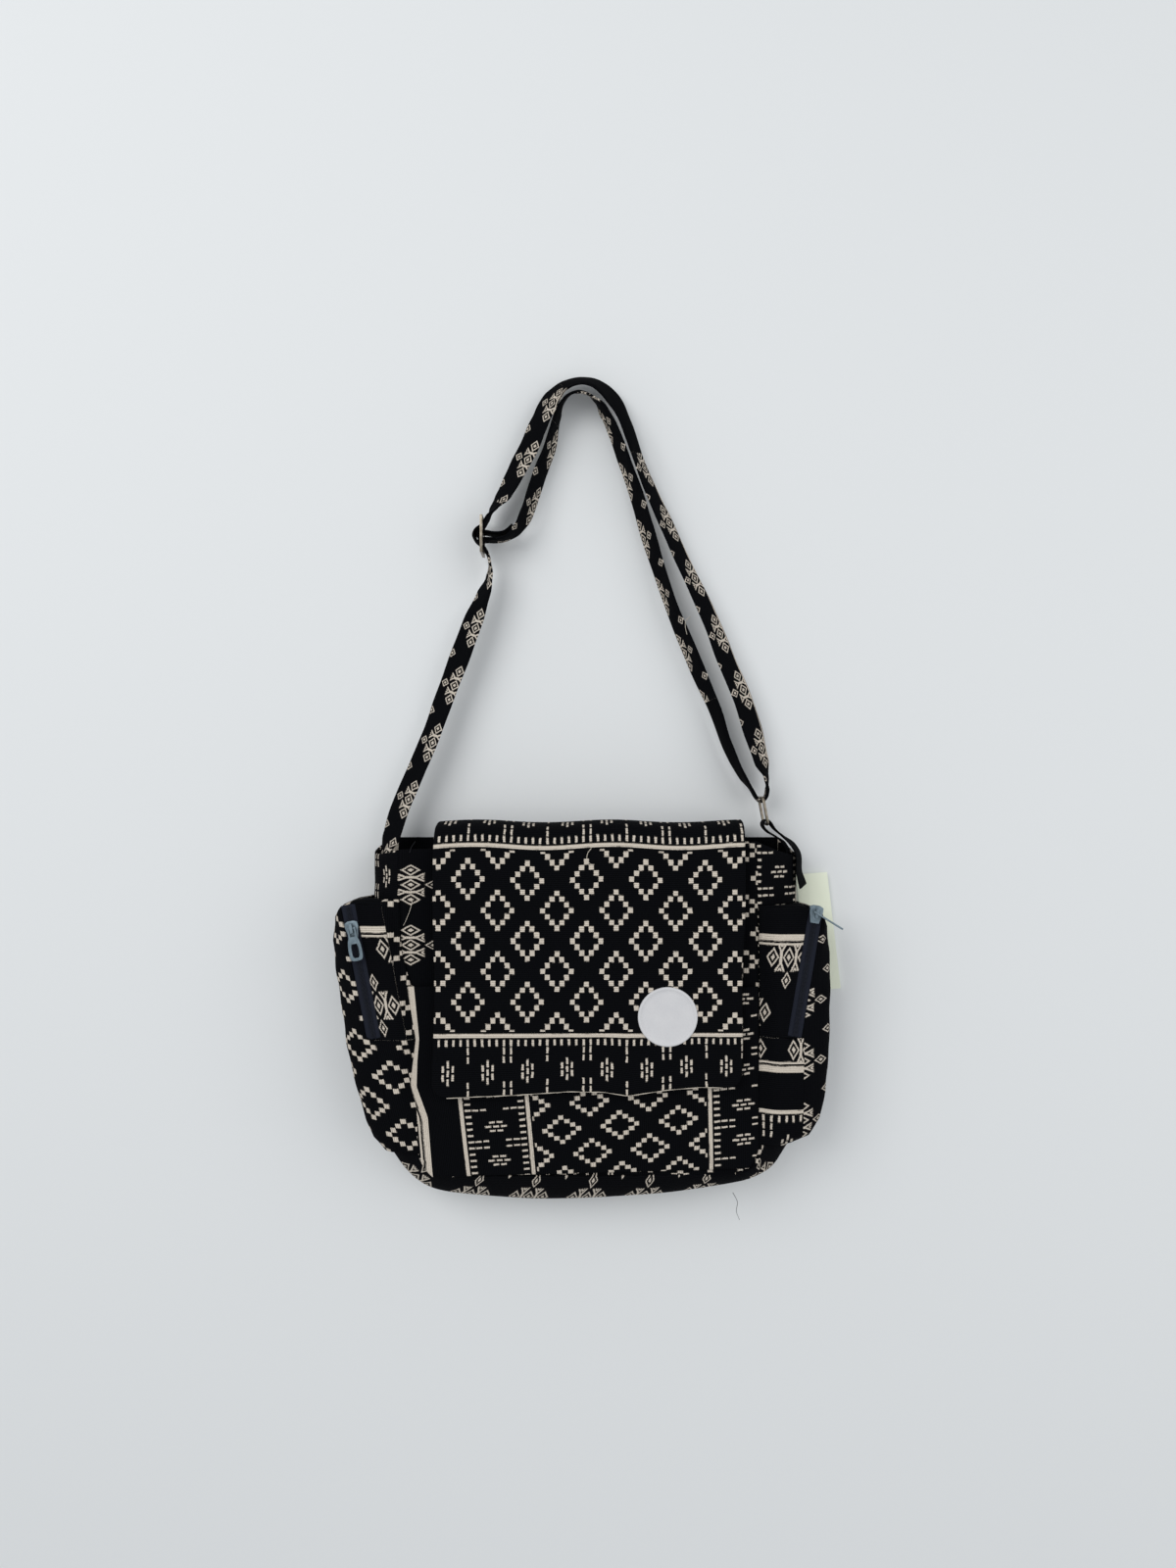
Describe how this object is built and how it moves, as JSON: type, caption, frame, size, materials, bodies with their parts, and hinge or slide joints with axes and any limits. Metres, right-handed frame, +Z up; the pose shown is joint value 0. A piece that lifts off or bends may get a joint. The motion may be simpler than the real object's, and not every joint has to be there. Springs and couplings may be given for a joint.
{
  "type": "messenger bag",
  "caption": "Soft cloth messenger bag in black and cream jacquard with a front flap, a front pocket, zipped side pockets and an adjustable doubled strap, hanging by the strap",
  "frame": {"origin": "where the strap's underside lies on the hook that the bag hangs from", "axes": "+Z up, +X to the right of a viewer who faces the flap, +Y towards the wall behind the bag"},
  "size_m": [0.5085, 0.0942, 0.8283],
  "materials": {
    "woven_cloth": "ribbed black jacquard cotton with cream figures",
    "zip_tape": "woven tape with nylon coil",
    "zip_metal": "satin blue-grey paint",
    "buckle_metal": "worn antique plating",
    "badge_cloth": "white woven patch with a stitched rim",
    "tag_card": "uncoated pale green card",
    "string": "thin twisted thread"
  },
  "bodies": {
    "bag": {"front_panel": "woven_cloth", "gusset": "woven_cloth", "back_panel": "woven_cloth", "flap": "woven_cloth", "front_pocket": "woven_cloth", "left_pocket": "woven_cloth", "right_pocket": "woven_cloth", "left_zip_outer_tape": "zip_tape", "left_zip_inner_tape": "zip_tape", "right_zip_inner_tape": "zip_tape", "right_zip_outer_tape": "zip_tape", "strap": "woven_cloth", "strap_ring": "buckle_metal", "ring_tab": "woven_cloth", "badge": "badge_cloth", "swing_tag": "tag_card", "tag_string": "string"},
    "left_slider": {"left_zip_slider": "zip_metal"},
    "left_puller": {"left_zip_puller": "zip_metal"},
    "right_slider": {"right_zip_slider": "zip_metal"},
    "right_puller": {"right_zip_puller": "zip_metal"},
    "adjuster": {"strap_adjuster": "buckle_metal"}
  },
  "joints": [
    {"name": "left_zip_run", "type": "slide", "parent": "bag", "child": "left_slider", "axis": [0.1903, 0, -0.9817], "range_m": [-0.014, 0.095]},
    {"name": "left_puller_swing", "type": "hinge", "parent": "left_slider", "child": "left_puller", "pos_m": [-0.21672, -0.0649, -0.53509], "axis": [-0.9817, 0, -0.1903], "range_deg": [0, 140]},
    {"name": "right_zip_run", "type": "slide", "parent": "bag", "child": "right_slider", "axis": [-0.1683, 0, -0.9857], "range_m": [0, 0.11]},
    {"name": "right_puller_swing", "type": "hinge", "parent": "right_slider", "child": "right_puller", "pos_m": [0.22891, -0.0678, -0.52045], "axis": [-0.1683, 0, -0.9857], "range_deg": [0, 175]},
    {"name": "adjuster_run", "type": "slide", "parent": "bag", "child": "adjuster", "axis": [0.3, 0, 0.9539], "range_m": [-0.02, 0.02], "deforming": ["strap"]}
  ]
}
